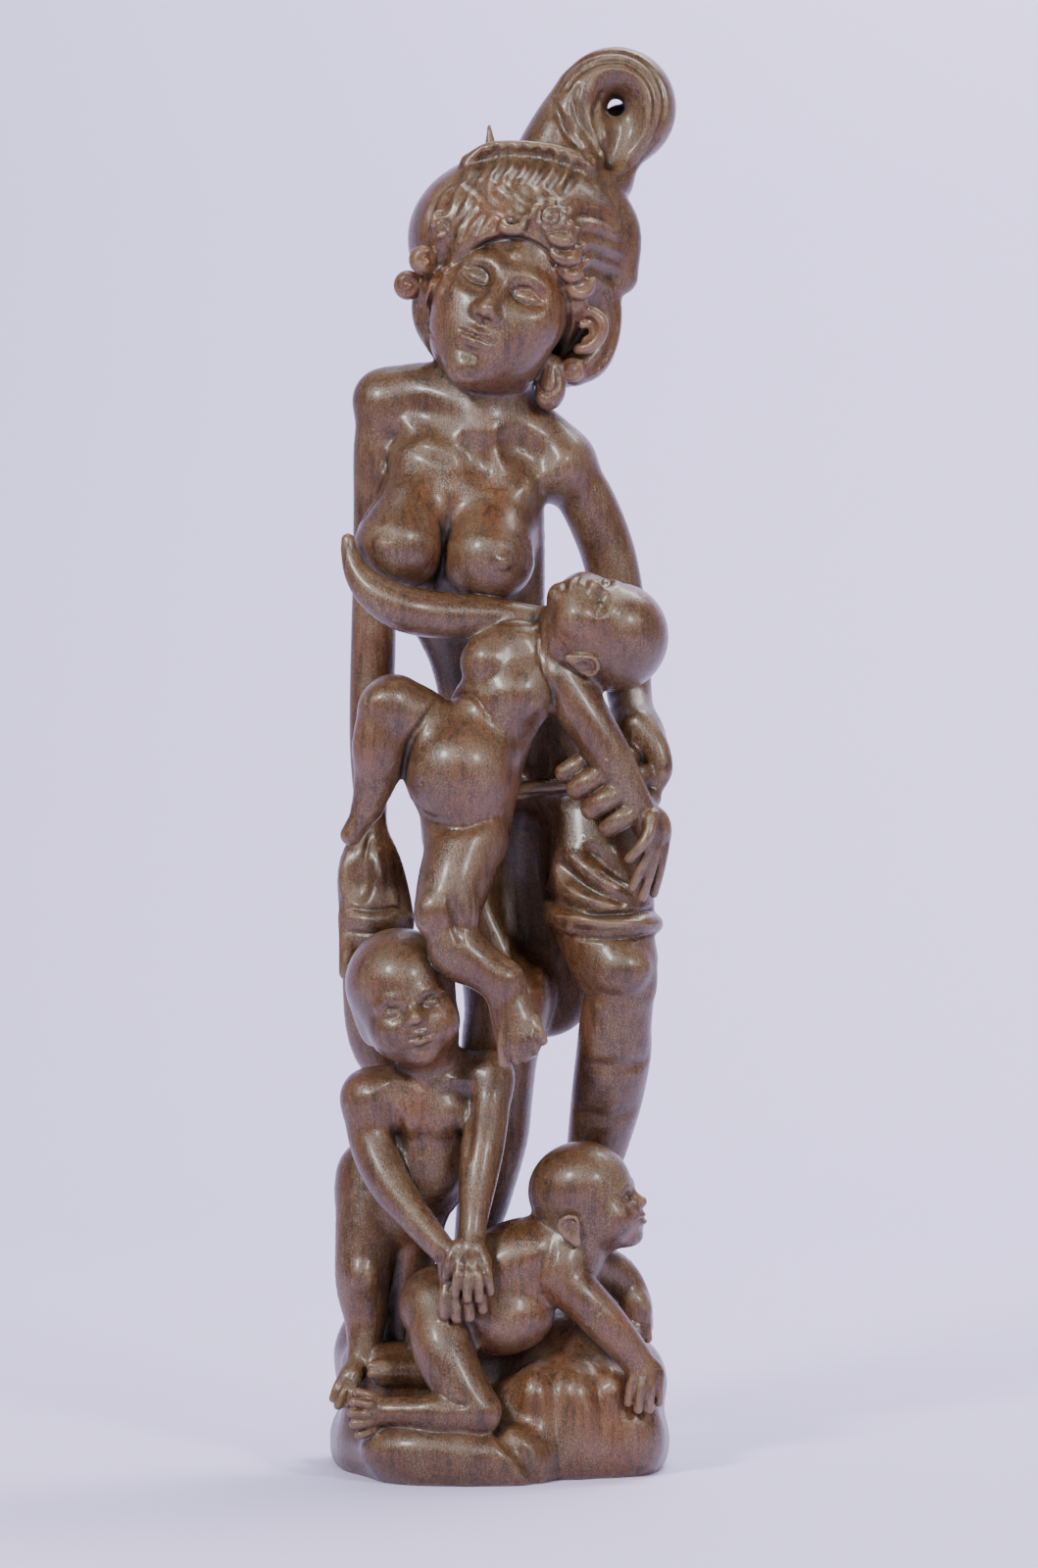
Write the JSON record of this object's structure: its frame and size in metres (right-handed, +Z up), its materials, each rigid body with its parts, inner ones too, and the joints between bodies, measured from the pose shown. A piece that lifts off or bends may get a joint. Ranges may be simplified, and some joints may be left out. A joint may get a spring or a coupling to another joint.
{
  "type": "mother and children sculpture",
  "caption": "Tall carved hardwood group of a standing mother nursing an infant, with small children at her feet, on a rocky mound base.",
  "frame": {"origin": "on the flat underside of the rock, near the middle of its outline", "axes": "+Z up along the figure, -Y towards the front, +X towards the viewer's right"},
  "size_m": [0.1944, 0.168, 0.7985],
  "materials": {
    "carved_wood": "satin brown hardwood with open dark pores, worn lighter on the high places and dusty in the hollows"
  },
  "bodies": {
    "root": {"carved_group": "carved_wood"}
  },
  "joints": []
}
